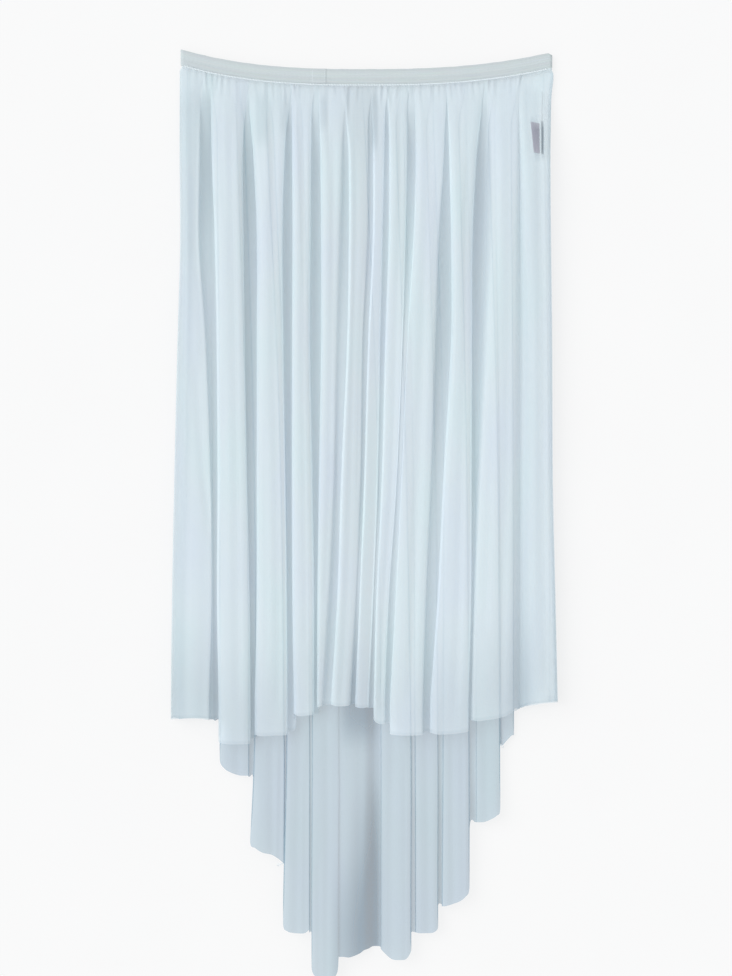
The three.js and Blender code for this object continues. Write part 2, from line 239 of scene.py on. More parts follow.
# Woven elastic: polyester yarn over rubber, matt, in lengthwise bands of which one is duller,
# with a light selvedge, and with the cross ticks of its weft.
woven_elastic = new_material("woven polyester elastic")
place = add_node(woven_elastic, "UVMap", uv_map="weave")
parts = add_node(woven_elastic, "SeparateXYZ", links={"Vector": place.outputs["UV"]})
across = add_node(
    woven_elastic, "MapRange", {"From Max": ELASTIC_HEIGHT * MM}, {"Value": parts.outputs["Y"]},
)
drawn_out = add_node(
    woven_elastic, "Mapping", {"Scale": (45, 700, 1)}, {"Vector": place.outputs["UV"]},
)
slub = add_node(
    woven_elastic, "TexNoise", {"Scale": 1.0, "Detail": 3.0},
    {"Vector": drawn_out.outputs["Vector"]},
)
bands = add_node(woven_elastic, "ValToRGB", links={"Fac": across.outputs["Result"]})
stops = bands.color_ramp.elements
stops[0].position, stops[0].color = 0.0, linear("#bec6c8")
stops[1].position, stops[1].color = 1.0, linear("#c8d1d3")
for at, colour in (
    (0.13, "#c0c8ca"), (0.28, "#c4cdcf"), (0.5, "#c4cdcf"),
    (0.64, "#bfc8ca"), (0.8, "#c1cacc"), (0.92, "#c2cbcd"),
):
    stops.new(at).color = linear(colour)
uneven = add_node(
    woven_elastic, "MixRGB", {"Fac": 0.12},
    {"Color1": bands.outputs["Color"], "Color2": slub.outputs["Color"]}, blend_type="SOFT_LIGHT",
)
# A wave texture of scale 1 repeats every WAVE metres. Warp bands every 2.2 mm, and weft ticks
# of 0.5 mm drawn at 1.2 mm, coarse enough to show.
WAVE = 0.314
warp = add_node(
    woven_elastic, "TexWave", {"Scale": WAVE / 0.0022}, {"Vector": place.outputs["UV"]},
    bands_direction="Y",
)
weft = add_node(
    woven_elastic, "TexWave", {"Scale": WAVE / 0.0012}, {"Vector": place.outputs["UV"]},
    bands_direction="X",
)
raised = add_node(
    woven_elastic, "Math", links={0: warp.outputs["Fac"], 1: weft.outputs["Fac"]}, operation="ADD",
)
relief = add_node(
    woven_elastic, "Bump", {"Strength": 0.5, "Distance": 0.0002}, {"Height": raised.outputs[0]},
)
matt_yarn = add_node(
    woven_elastic, "BsdfPrincipled",
    {"Roughness": 0.72, "Specular IOR Level": 0.3, "Sheen Weight": 0.15},
    {"Base Color": uneven.outputs["Color"], "Normal": relief.outputs["Normal"]},
)
surface_from(woven_elastic, matt_yarn)
waist.data.materials.append(woven_elastic)
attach(waist, "root")
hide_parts("waist_elastic")


# THE LAPPED JOIN. The elastic's two ends lie over each other for 14 mm left of the middle and
# are tacked together with a box of stitches in the same pale thread.
def sewn_line(name, points, thick):
    """A line of thread through points in mm, as a thin round mesh."""
    data = bpy.data.curves.new(name, "CURVE")
    data.dimensions, data.use_fill_caps = "3D", True
    data.bevel_depth, data.bevel_resolution = thick / 2 * MM, 1
    spline = data.splines.new("POLY")
    spline.points.add(len(points) - 1)
    for point, place in zip(spline.points, points):
        point.co = (*(value * MM for value in place), 1)
    line = bpy.data.objects.new(name, data)
    scene.collection.objects.link(line)
    bpy.ops.object.select_all(action="DESELECT")
    line.select_set(True)
    bpy.context.view_layer.objects.active = line
    bpy.ops.object.convert(target="MESH")
    line = bpy.context.object
    bpy.ops.object.shade_smooth()
    return line


def flat_strip(name, columns, rows):
    """A square grid of 1 m at the origin, whose points are then given their places."""
    bpy.ops.object.select_all(action="DESELECT")
    bpy.ops.mesh.primitive_grid_add(
        x_subdivisions=columns, y_subdivisions=rows, size=1, location=(0, 0, 0)
    )
    strip = bpy.context.object
    strip.name = name
    return strip


LAP_FROM, LAP_TO = -49.0, -35.0
lap = flat_strip("elastic_lapped_end", 10, 8)
lap.data.uv_layers[0].name = "weave"
for v in lap.data.vertices:
    across, down = v.co.x + 0.5, 0.5 - v.co.y
    x = LAP_FROM + (LAP_TO - LAP_FROM) * across
    lift = 0.12 * np.exp(-((across - 0.5) ** 2) / 0.18)
    y = float(waist_line(x)) - 0.3 - (ELASTIC_HEIGHT - 0.8) * down
    v.co = (x * MM, y * MM, (BAND_DEPTH + 0.2 + lift) * MM)
for corner, loop in zip(lap.data.uv_layers["weave"].data, lap.data.loops):
    place = lap.data.vertices[loop.vertex_index].co / MM
    corner.uv = (place.x * MM, (float(waist_line(place.x)) - place.y) * MM)
thicken(lap, 0.4, 0.18)
lap.data.materials.append(woven_elastic)
# The tack runs down beside one end of the lap and up beside the other, in steps of 1.2 mm.
tack = []
for x, order in ((LAP_FROM + 1.6, range(10)), (LAP_TO - 1.6, range(9, -1, -1))):
    for k, step in enumerate(order):
        y = float(waist_line(x)) - 1.6 - step * 1.2
        tack.append((x + (0.3 if k % 2 else -0.3), y, BAND_DEPTH + 0.24))
box_tack = sewn_line("elastic_box_tack", tack, 0.25)
# Spun polyester thread: round, matt and a little lighter than what it sews.
spun_thread = new_material("spun polyester thread")
place = add_node(spun_thread, "TexCoord")
twist = add_node(
    spun_thread, "TexWave", {"Scale": WAVE / 0.0012}, {"Vector": place.outputs["Object"]},
    bands_direction="DIAGONAL",
)
ply = add_node(spun_thread, "ValToRGB", links={"Fac": twist.outputs["Fac"]})
ply.color_ramp.elements[0].color = linear("#d6e0e5")
ply.color_ramp.elements[1].color = linear("#eef5f8")
matt_thread = {"Roughness": 0.7, "Specular IOR Level": 0.3}
surface_from(
    spun_thread,
    add_node(spun_thread, "BsdfPrincipled", matt_thread, {"Base Color": ply.outputs["Color"]}),
)
box_tack.data.materials.append(spun_thread)
for piece in (lap, box_tack):
    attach(piece, "root")


# THE WAIST STITCHING. The elastic's lower selvedge is a soft pale cord, which lies on the
# gathered mesh. A narrow zigzag in pale stretch thread over it holds the mesh in front, and
# another does behind.
cord_path = [
    (x, float(waist_line(x)) - ELASTIC_HEIGHT - 0.55, BAND_DEPTH + 0.45)
    for x in np.arange(WAIST_MIDDLE - 166, WAIST_MIDDLE + 166.5, 2.5)
]
selvedge = sewn_line("waist_selvedge", cord_path, 1.3)
selvedge.data.materials.append(spun_thread)
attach(selvedge, "root")
# Each zigzag: the height of its stitches on the elastic and on the mesh, in mm.
for name, on_elastic, on_mesh in (
    ("waist_zigzag_front", BAND_DEPTH + 0.35, BAND_DEPTH + 1.3), ("waist_zigzag_back", 0.25, 0.25),
):
    stitches = []
    for k, x in enumerate(np.arange(WAIST_MIDDLE - 164.4, WAIST_MIDDLE + 164.7, 1.2)):
        over, high = (0.8, on_elastic) if k % 2 else (-1.0, on_mesh)
        stitches.append((x, float(waist_line(x)) - ELASTIC_HEIGHT + over, high))
    zigzag = sewn_line(name, stitches, 0.42)
    zigzag.data.materials.append(spun_thread)
    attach(zigzag, "root")


# THE FRONT PANEL. One piece of stretch mesh, gathered to the elastic and left raw at its
# curved hem. It falls in twelve rounded folds with a hollow between each two, which lie on
# the back panel.

# A soft wall leans over SOFT_REACH of its hollow. The folds reach their full height, TOP_HIGH
# over the table, FULL_HEIGHT_AFTER under the elastic, and the side seams lie SIDE_SEAM_HIGH
# over it. SIDE_MOUTH is how the cloth opens beside them, as in the hollows below.
SOFT_REACH, FULL_HEIGHT_AFTER = 0.34, 105
SIDE_SEAM_HIGH, SIDE_MOUTH, TOP_HIGH = 7.0, (1.0, 5, 40), 24.4
FRONT_LEVELS = [367.6, 322.1, 249.3, 158.3, 30.9, -78.3, -169.3]
DEPTH_LEVELS = [350, 318, 245, 158, 31, -78, -169]
# Each fold: its left and right edge at the seven levels, the height of its four top points as
# shares, and its hem from edge to edge. All in mm.
FRONT_FOLDS = [
    ([-168.3, -167.8, -167.2, -169.6, -172.5, -174.5, -175.5],
     [-149.5, -149.7, -150.2, -144.2, -139.7, -138.8, -141.1],
     [0.86, 0.99, 0.96, 0.84], [-186.2, -185.6, -185.1, -185.1, -185.8, -186.8]),
    ([-140.0, -138.8, -136.0, -134.2, -133.3, -133.8, -132.4],
     [-109.7, -110.6, -109.7, -108.7, -106.5, -104.2, -103.3],
     [0.93, 1.0, 0.97, 0.9], [-206, -208, -208.5, -208.5, -208.5, -208]),
    ([-104.8, -101.0, -97.8, -97.8, -97.8, -97.8, -99.6],
     [-70.0, -72.4, -74.2, -73.4, -71.4, -70.1, -69.6],
     [0.93, 1.0, 0.96, 0.88], [-200, -201, -201, -200.5, -200.5, -200]),
    ([-66.6, -65.8, -65.5, -65.9, -66.0, -65.5, -64.2],
     [-48.0, -48.2, -48.7, -49.1, -46.9, -45.5, -45.5],
     [0.95, 1.0, 0.95, 0.9], [-181, -182.5, -183, -182.5, -182, -181]),
    ([-41.4, -40.3, -39.6, -39.6, -41.4, -42.8, -43.2],
     [-19.6, -20.0, -22.3, -25.0, -27.3, -32.3, -37.8],
     [0.95, 1.0, 0.95, 0.86], [-174, -175, -174.5, -174, -173.5, -172]),
    ([-16.8, -14.6, -14.4, -15.9, -21.4, -25.0, -30.5],
     [4.1, 4.1, 3.6, -0.9, -2.7, -7.1, -11.8],
     [0.97, 0.97, 0.93, 0.88], [-172, -173.5, -174, -174, -173.5, -172.5]),
    ([6.8, 7.7, 7.3, 3.2, -0.5, -4.8, -8.6],
     [19.1, 18.2, 16.6, 14.6, 12.3, 8.2, 4.1],
     [0.97, 1.02, 0.99, 0.92], [-174, -175, -175.5, -175.5, -175, -174.5]),
    ([21.8, 22.3, 21.7, 18.7, 15.5, 10.5, 8.2],
     [39.3, 38.9, 37.5, 35.0, 29.6, 22.3, 18.8],
     [0.96, 0.99, 0.94, 0.88], [-185, -188, -189.5, -190, -190, -189.5]),
    ([46.0, 46.4, 44.1, 38.7, 33.2, 27.8, 22.9],
     [73.3, 71.9, 67.3, 64.2, 60.1, 55.5, 52.8],
     [0.97, 1.0, 0.95, 0.9], [-199, -200, -200.5, -200.5, -200.5, -200]),
    ([76.0, 76.9, 78.3, 78.3, 71.4, 66.0, 59.6],
     [107.0, 101.9, 98.3, 97.8, 97.4, 96.9, 94.6],
     [0.97, 1.0, 0.95, 0.88], [-198, -199.5, -199.5, -199, -198, -196.5]),
    ([113.8, 114.2, 113.8, 110.1, 104.2, 99.6, 97.4],
     [139.7, 139.7, 138.8, 137.9, 137.0, 136.0, 134.6],
     [0.92, 1.0, 0.97, 0.88], [-187, -187.5, -186.5, -185, -183, -180]),
    ([142.4, 143.3, 145.1, 148.8, 148.8, 148.8, 150.6],
     [169.8, 168.9, 169.4, 170.4, 171.0, 173.4, 175.4],
     [0.99, 1.0, 0.95, 0.87], [-173.8, -172.9, -171.8, -171.2, -170.9, -170.8]),
]
# Each hollow: its depth at the seven levels, how gently it rises to the left and to the right,
# how open its mouth is at the elastic and how far below it is fully wide and deep, and the Y of
# its hem. From 5 mm deep a hollow also darkens the cloth's colour, partly as two layers lying
# together and partly as painted shade; past 14 mm the cloth lies on the back, and the rest of its
# depth is only painted shade.
FRONT_HOLLOWS = [
    ([16, 17, 12, 10, 8.5, 8, 13], [0.4, 0.0], (1.0, 18, 34), -187),
    ([13.5, 19, 18, 16, 12.5, 12.5, 14], [0.2, 0.1], (0.3, 50, 30), -204),
    ([11.5, 12, 13.5, 13, 12, 11, 10], [0.1, 0.0], (0.3, 46, 30), -197),
    ([7, 11.5, 12.5, 12, 11, 9.5, 12], [0.1, 0.1], (0.8, 30, 34), -181),
    ([3, 6, 7.5, 6, 6, 8, 7.5], [0.6, 0.0], (0.3, 60, 60), -173),
    ([4.5, 5, 4, 4.5, 4.5, 2.5, 14], [0.3, 0.1], (0.5, 40, 50), -173),
    ([6, 6, 7, 6, 3, 1.5, 6.5], [0.1, 0.1], (0.4, 30, 50), -176),
    ([11, 10.5, 7.5, 1.2, 2, 6, 8.5], [0.2, 0.2], (0.9, 20, 34), -190),
    ([5, 8, 12.5, 13.5, 9, 10, 11.5], [0.4, 0.0], (0.3, 50, 50), -198),
    ([13, 18.5, 18.5, 13.5, 10.5, 8, 8], [0.0, 0.7], (0.6, 30, 40), -187),
    ([8, 8, 10, 10, 10.5, 14, 18], [0.9, 1.0], (1.0, 40, 100), -176.3),
]
# in_band and low are how high the cloth lies in the elastic and at its lowest, and low_after is
# how far below the elastic it gets there. undercut is how far a wall goes in under its fold.
FRONT = {
    "levels": FRONT_LEVELS, "folds": FRONT_FOLDS, "hollows": FRONT_HOLLOWS, "in_band": 3.65,
    "low": 10.4, "low_after": FULL_HEIGHT_AFTER, "outward": 1, "side_points": 0, "undercut": 2.2,
    "top": lambda i, y: np.full_like(y, TOP_HIGH),
    "drop": lambda i, y: at_levels(DEPTH_LEVELS, FRONT_HOLLOWS[i][0], y),
    "side_drop": TOP_HIGH - SIDE_SEAM_HIGH,
}


def at_levels(levels, values, y):
    """A smooth curve through the values given at falling levels of Y."""
    levels, values = np.asarray(levels, float), np.asarray(values, float)
    after = np.minimum(np.arange(len(levels)) + 1, len(levels) - 1)
    before = np.maximum(np.arange(len(levels)) - 1, 0)
    slopes = (values[after] - values[before]) / (levels[after] - levels[before])
    y = np.clip(y, levels[-1], levels[0])
    i = np.clip(np.searchsorted(-levels, -y, side="right") - 1, 0, len(levels) - 2)
    step = levels[i + 1] - levels[i]
    s = (y - levels[i]) / step
    return (
        values[i] * (1 + 2 * s) * (1 - s) ** 2 + step * slopes[i] * s * (1 - s) ** 2
        + values[i + 1] * (3 - 2 * s) * s**2 - step * slopes[i + 1] * (1 - s) * s**2
    )


def fold_edge(panel, i, side, y):
    """X of a fold's left (0) or right (1) edge. The right seam stands out at the elastic."""
    x = at_levels(panel["levels"], panel["folds"][i][side], y)
    if panel is FRONT and (i, side) == (len(FRONT_FOLDS) - 1, 1):
        x = x + 2.2 * np.exp(-(((np.asarray(y) - 400) / 14) ** 2))
    return x


def open_point(panel, i, j, y, tucked=1.0):
    """Place, crown height, drop and opening distance of point j of fold i, fully open.

    tucked is how far its walls have gone in under its edges."""
    a, b = fold_edge(panel, i, 0, y), fold_edge(panel, i, 1, y)
    hollows = panel["hollows"]

    def inward(h, side):
        if h < 0 or h >= len(hollows):
            return 0 * y, 0 * y + panel["side_drop"], SIDE_MOUTH, 0
        soft = hollows[h][1][side]
        wide = fold_edge(panel, h + 1, 0, y) - fold_edge(panel, h, 1, y)
        shift = tucked * panel["undercut"] * (1 - soft) - SOFT_REACH * wide * soft
        return shift, panel["drop"](h, y), hollows[h][2], soft

    top = panel["top"](i, y)
    tops = panel["folds"][i][2]
    before, after = inward(i - 1, 1), inward(i, 0)
    if j >= 8:
        start = b - after[0]
        end = fold_edge(panel, i + 1, 0, y) + inward(i, 1)[0]
        return start + (0.2, 0.8)[j - 8] * (end - start), top, after[1], after[2]
    side = before if j < 4 else after
    lip = 0.68 + 0.1 * side[3]
    up = (0.3, lip, *tops, lip, 0.3)[j]
    wide = b - a
    x = (
        a + side[0], a, a + 0.16 * wide, a + 0.37 * wide,
        b - 0.37 * wide, b - 0.16 * wide, b, b - side[0],
    )[j]
    return x, top, side[1] * (1 - up), side[2]


def panel_columns(panel):
    """The folds' control columns: (fold, point) or (None, place in the side edge)."""
    columns = []
    for i in range(len(panel["folds"])):
        columns += [(i, j) for j in range(8 if i == len(panel["folds"]) - 1 else 10)]
    n = panel["side_points"]
    return [(None, -n + k) for k in range(n)] + columns + [(None, n - k) for k in range(n)]


def places_in_band(panel):
    """Where the columns meet the elastic: as the folds lie under it, with narrower hollows."""
    half = WAIST_WIDTH / 2 - 1.4
    top = np.array([panel["levels"][0]], float)
    columns, n = panel_columns(panel), panel["side_points"]
    folds, places = panel["folds"], []
    first, last = folds[0][0][0], folds[-1][1][0]
    for i, j in columns:
        if i is None:
            places.append(first - 1.5 + 0.5 * (n + j) if j < 0 else last + 1.5 - 0.5 * (n - j))
            continue
        x = float(open_point(panel, i, j, top, 0.0)[0][0])
        h = i - 1 if j < 2 else i
        if 0 <= h < len(folds) - 1 and j not in (2, 3, 4, 5):
            middle = (folds[h][1][0] + folds[h + 1][0][0]) / 2
            x = middle + (x - middle) * panel["hollows"][h][2][0]
        places.append(x)
    places = np.array(places)
    shares = (places - places[0]) * 2 * half / (places[-1] - places[0])
    return WAIST_MIDDLE - half + shares


def hem_line(panel):
    """Y of the hem at each column, with the step between folds in their walls."""
    folds, hollows, hems = panel["folds"], panel["hollows"], []
    for i, (_, _, _, hem) in enumerate(folds):
        before = hollows[i - 1][3] if i > 0 else hem[0]
        after = hollows[i][3] if i < len(hollows) else hem[-1]
        hems += [(before + hem[0]) / 2, *hem, (hem[-1] + after) / 2]
        if i < len(hollows):
            hems += [after, after]
    n = panel["side_points"]
    return np.array([FRONT_FOLDS[0][3][0]] * n + hems + [FRONT_FOLDS[-1][3][-1]] * n)


# Rows down the cloth, in mm under the elastic and then as shares of the rest to the hem, with
# two more close to the hem for its curl.
UNDER_BAND = [
    -10, -4, -1.2, -0.7, -0.35, 0, 0.3, 0.7, 1.1, 1.7, 2.5, 3.6, 5, 6.6, 8.4, 10.6, 13,
    16.5, 20, 24, 28.5, 34, 40, 47, 55, 64, 74, 86, 98, 112, 126, 142, 160,
]
NEAR_HEM = [1 - 1.6 / 430, 1 - 4.0 / 430]


def control_grid(panel, rows_below):
    """Points of the cloth at each control column and row, and how much lying double and painted
    shade darken it there.
    """
    columns, places, hems = panel_columns(panel), places_in_band(panel), hem_line(panel)
    edges = waist_line(places) - ELASTIC_HEIGHT
    shares = np.linspace(0, 1, rows_below + 1)[1:]
    shares = np.sort(np.append(shares, NEAR_HEM))
    X, Y, Z, S = [], [], [], []
    for k, (i, j) in enumerate(columns):
        down = edges[k] - np.array(UNDER_BAND, float)
        y = np.concatenate([down, down[-1] + (hems[k] - down[-1]) * shares])
        under = edges[k] - y
        at_end = k in (0, len(columns) - 1)
        if i is None:
            fold, side, into = (0, 0, 1) if j < 0 else (len(FRONT_FOLDS) - 1, 1, -1)
            inwards, z = {
                3: (0, SIDE_SEAM_HIGH), 2: (0, panel["low"] + 2), 1: (2, panel["low"]),
            }[abs(j)]
            x = fold_edge(FRONT, fold, side, y) + into * inwards
            top, drop, opens = 0 * y + z, 0 * y, SIDE_MOUTH
        elif at_end:
            x = open_point(panel, i, j, y)[0]
            top, drop, opens = 0 * y + SIDE_SEAM_HIGH, 0 * y, SIDE_MOUTH
        else:
            x, top, drop, opens = open_point(panel, i, j, y, ease(4, 40, under))
        _, wide_by, deep_by = opens
        opened, deepened = ease(1, wide_by, under), ease(3, deep_by, under)
        full = ease(1, FULL_HEIGHT_AFTER, under) ** 0.7
        in_band, sinking = panel["in_band"], ease(1, panel["low_after"], under) ** 0.7
        lowest = in_band + (panel["low"] - in_band) * sinking
        z = in_band + (top - in_band) * full - drop * deepened
        bunching_and_shade = 0 * y
        if i is not None and not at_end:
            # The deeper the hollow the darker the cloth: partly doubled layers, partly painted
            # shade.
            bunching_and_shade = np.clip((drop * deepened - 5) / 16, 0, 1)
            z = np.maximum(z, lowest)
        X.append(places[k] + (x - places[k]) * opened)
        Y.append(y)
        Z.append(np.maximum(z, panel["low"] if panel["outward"] < 0 else 0.2))
        S.append(bunching_and_shade)
    return np.array([X, Y, Z, S]).transpose(1, 2, 0)


def fine_columns(grid, pitch):
    """Fine columns through the control columns, along a Catmull-Rom spline."""
    middle = grid[:, grid.shape[1] // 2, :3]
    lengths = np.linalg.norm(np.diff(middle, axis=0), axis=1)
    spots = [0.0]
    for k, length in enumerate(lengths):
        count = max(2, int(round(length / pitch)))
        spots += [k + (n + 1) / count for n in range(count)]
    spots = np.array(spots)
    i = np.minimum(spots.astype(int), len(grid) - 2)
    t = (spots - i)[:, None, None]
    last = len(grid) - 1
    p0, p1, p2, p3 = (grid[np.clip(i + d, 0, last)] for d in (-1, 0, 1, 2))
    fine = 0.5 * (
        2 * p1 + (p2 - p0) * t
        + (2 * p0 - 5 * p1 + 4 * p2 - p3) * t**2 + (3 * p1 - p0 - 3 * p2 + p3) * t**3
    )
    return spots, fine


def across_fold(panel, spots):
    """Which fold each fine column is on, and how far over it, from 0 to 1."""
    columns = panel_columns(panel)
    shares = (-0.1, 0, 0.16, 0.37, 0.63, 0.84, 1, 1.1, 1.3, 1.6)
    outside = {True: (0, -1), False: (len(panel["folds"]) - 1, 2)}
    keys = [outside[j < 0] if i is None else (i, shares[j]) for i, j in columns]
    fold, share = [], []
    for s in spots:
        k = min(int(s), len(keys) - 2)
        t = s - k
        (i0, s0), (i1, s1) = keys[k], keys[k + 1]
        if i0 != i1:
            i1, s1 = i0, 1.9
        fold.append(i0)
        share.append(s0 + (s1 - s0) * t)
    return np.array(fold), np.array(share)


def crease(panel, fine, fold, share, which, path, wide, deep, fade=30):
    """A soft trough, or a ridge where deep is negative, along a path of (Y, share) on a fold."""
    path = sorted(path, reverse=True)
    ys, ss = [p[0] for p in path], [p[1] for p in path]
    for c in np.nonzero((fold == which) & (share > -0.05) & (share < 1.05))[0]:
        y = fine[c, :, 1]
        width = fold_edge(panel, which, 1, y) - fold_edge(panel, which, 0, y)
        middle = np.interp(-y, [-v for v in ys], ss)
        off = (share[c] - middle) * width / wide
        ends = ease(ys[-1] - fade, ys[-1], y) * (1 - ease(ys[0], ys[0] + fade, y))
        inside = ease(-0.02, 0.08, share[c]) * (1 - ease(0.92, 1.02, share[c]))
        fine[c, :, 2] -= deep * np.exp(-(off**2)) * ends * inside


def gather(fine, outward, strong, seed):
    """The little puckers under the elastic, uneven in pitch, depth and length."""
    dice = random.Random(seed)
    under = waist_line(fine[:, :, 0]) - ELASTIC_HEIGHT - fine[:, :, 1]
    # The cloth puffs up against the elastic's lower edge, as high as the elastic stands.
    puff = 2.0 * ease(-0.9, 0.25, under) * np.exp(-under / 13)
    puff += 0.8 * np.exp(-((under - 1.4) ** 2))
    fine[:, :, 2] += outward * puff
    x = -162.0
    while x < 163:
        deep = any(a <= x <= b for a, b in strong)
        high = dice.uniform(0.9, 1.6) if deep else dice.uniform(0.15, 0.8)
        length = dice.uniform(22, 46) if deep else dice.uniform(12, 30)
        wide, lean = dice.uniform(1.2, 2.0), dice.uniform(-0.12, 0.12)
        off = (fine[:, :, 0] - x - lean * under) / wide
        swell = ease(-1, 3, under) * (1 - ease(0.15 * length, length, under))
        ridge = np.exp(-(off**2)) - 0.7 * np.exp(-((off - 1.7) ** 2))
        fine[:, :, 2] += outward * high * ridge * swell
        x += dice.uniform(3.0, 6.6) if deep else dice.uniform(3.6, 10.5)


def cloth_object(name, fine, up):
    """A cloth sheet whose UV map is the cloth laid flat, in metres."""
    count, rows = fine.shape[:2]
    fine, bunching_and_shade = fine[:, :, :3], fine[:, :, 3]
    mesh = bpy.data.meshes.new(name)
    c, r = np.meshgrid(np.arange(count - 1), np.arange(rows - 1), indexing="ij")
    a, b = (c * rows + r).ravel(), (c * rows + r + 1).ravel()
    quads = np.stack([a, b, b + rows, a + rows], axis=1)
    if not up:
        quads = quads[:, ::-1]
    mesh.from_pydata((fine.reshape(-1, 3) * MM).tolist(), [], quads.tolist())
    spread = np.linalg.norm(np.diff(fine[:, rows // 2], axis=0), axis=1)
    u = np.concatenate([[0], np.cumsum(spread)])
    steps = np.linalg.norm(np.diff(fine, axis=1), axis=2)
    fall = np.concatenate([np.zeros((count, 1)), np.cumsum(steps, axis=1)], axis=1)
    flat = np.stack([np.repeat(u, rows), -fall.ravel()], axis=1) * MM
    layer = mesh.uv_layers.new(name="cloth")
    corners = np.empty(len(mesh.loops), int)
    mesh.loops.foreach_get("vertex_index", corners)
    layer.data.foreach_set("uv", flat[corners].astype(np.float32).ravel())
    bunched_and_painted_shade = mesh.attributes.new("bunched_and_painted_shade", "FLOAT", "POINT")
    bunched_and_painted_shade.data.foreach_set("value", np.clip(bunching_and_shade, 0, 2).astype(np.float32).ravel())
    mesh.polygons.foreach_set("use_smooth", [True] * len(mesh.polygons))
    mesh.update()
    made = bpy.data.objects.new(name, mesh)
    scene.collection.objects.link(made)
    return made


def curl_hem(fine, amounts, seed):
    """The raw edge rolls up a little, more in some places than in others."""
    dice = np.random.default_rng(seed)
    each = 23  # columns from one change of the curl to the next
    knots = np.arange(0, len(fine) + 40, each)
    curls = dice.uniform(0.3, 1.0, len(fine) // each + 3)[: len(knots)]
    wave = np.interp(np.arange(len(fine)), knots, curls)
    ends = np.minimum(np.arange(len(fine)), np.arange(len(fine))[::-1])
    wave *= 0.25 + 0.75 * ease(0, 45, ends)
    for row, amount in zip((-1, -2, -3), amounts):
        fine[:, row, 2] += amount * wave


def soften(fine, spots, start, end, reach):
    """Smooths the fall of the cloth across the columns between two control columns."""
    rows = np.nonzero((spots >= start) & (spots <= end))[0]
    kernel = np.hanning(2 * reach + 3)[1:-1]
    kernel /= kernel.sum()
    for value in (0, 2):
        padded = np.pad(fine[:, :, value], ((reach, reach), (0, 0)), mode="edge")
        smooth = sum(k * padded[n : n + len(fine)] for n, k in enumerate(kernel))
        blend = np.minimum(1, np.minimum(rows - rows[0], rows[-1] - rows) / reach)[:, None]
        fine[rows, :, value] += (smooth[rows] - fine[rows, :, value]) * blend


STRONG_GATHERS = [(-150, -127), (-100, -72), (-22, -13), (10, 24), (41, 49)]
FINE_PITCH = 0.85  # mm from one column of the cloth to the next
front_grid = control_grid(FRONT, 66)
front_spots, front_fine = fine_columns(front_grid, FINE_PITCH)
front_fold, front_share = across_fold(FRONT, front_spots)
# The shallow hollows are soft troughs with no edge: (first and last control column, reach).
for start, end, reach in ((103, 114, 14), (43, 49, 5), (53, 58, 4), (96, 102, 8)):
    soften(front_fine, front_spots, start, end, reach)
# The creases on the folds, listed: fold, path, width and depth in mm.
FRONT_CREASES = [
    (0, [(370, 0.5), (300, 0.62), (240, 0.66)], 4.5, 1.8),
    (0, [(120, 0.68), (76, 0.72), (30, 0.82), (0, 0.95)], 4, 1.6),
    (0, [(-20, 0.3), (-170, 0.36)], 6, 1.0),
    (1, [(340, 0.62), (200, 0.66), (40, 0.66), (-150, 0.62)], 5, 1.7),
    (1, [(360, 0.3), (290, 0.36)], 3, 0.9), (1, [(120, 0.25), (-60, 0.22)], 3.5, 0.8),
    (2, [(350, 0.6), (180, 0.64), (20, 0.7), (-160, 0.72)], 4.5, 1.8),
    (2, [(365, 0.22), (310, 0.3)], 3, 1.0), (2, [(60, 0.3), (-120, 0.34)], 4, 0.9),
    (3, [(350, 0.5), (250, 0.55), (80, 0.6), (-100, 0.62)], 3, 1.2),
    (4, [(330, 0.6), (150, 0.66), (-60, 0.7)], 3.2, 1.3), (4, [(365, 0.35), (330, 0.4)], 2, 0.8),
    (5, [(320, 0.35), (140, 0.42), (-40, 0.5), (-160, 0.5)], 3, 1.3),
    (5, [(200, 0.78), (40, 0.8)], 2.4, 0.9),
    (7, [(350, 0.62), (200, 0.6), (0, 0.66), (-150, 0.62)], 3, 1.4),
    (8, [(355, 0.4), (250, 0.5), (60, 0.55), (-150, 0.6)], 4.5, 1.7),
    (8, [(300, 0.8), (180, 0.82)], 2.5, 0.8), (9, [(360, 0.34), (300, 0.38)], 3, 1.0),
    (9, [(300, 0.7), (120, 0.66), (-40, 0.62), (-160, 0.66)], 4.5, 1.7),
    (10, [(340, 0.66), (200, 0.72), (30, 0.74), (-150, 0.7)], 5, 1.7),
    (10, [(110, 0.3), (-90, 0.3)], 4, 0.9),
    (11, [(330, 0.62), (220, 0.66), (30, 0.62), (-140, 0.6)], 5, 1.6),
    (11, [(368, 0.2), (330, 0.28)], 3, 0.8),
]
for which, path, wide, deep in FRONT_CREASES:
    crease(FRONT, front_fine, front_fold, front_share, which, path, wide, deep * 0.55)
curl_hem(front_fine, (0.7, 0.35, 0.05), 5)
# Over the dark label and its tape the yarn gets no light from behind: painted shade darkens the
# front's colour there.
LABEL_LOW, LABEL_LONG, TAPE_X = 328.5, 28.5, 161.6
front_x, front_y, front_bunched_and_shade = (front_fine[:, :, value] for value in (0, 1, 3))
up_label = (front_y - LABEL_LOW) / LABEL_LONG
from_middle = np.abs(up_label - 0.5)
across_label = np.abs(front_x - 156.5 + 1.3 * up_label) / (2.7 + 1.3 * up_label)
over_label = (1 - ease(0.8, 1.15, across_label)) * (1 - ease(0.42, 0.54, from_middle))
over_tape = (1 - ease(0.6, 1.5, np.abs(front_x - TAPE_X))) * (1 - ease(0.45, 0.53, from_middle))
front_bunched_and_shade += (0.8 + 0.4 * up_label) * over_label
front_bunched_and_shade += 1.5 * over_tape
# Under the elastic the cloth is gathered closer, and its colour is darker there, partly as fuller
# cloth and partly as painted shade under the elastic.
waist_under = waist_line(front_x) - ELASTIC_HEIGHT - front_y
front_bunched_and_shade += 0.2 * (1 - ease(25, 105, waist_under)) * (1 - ease(146, 154, front_x))
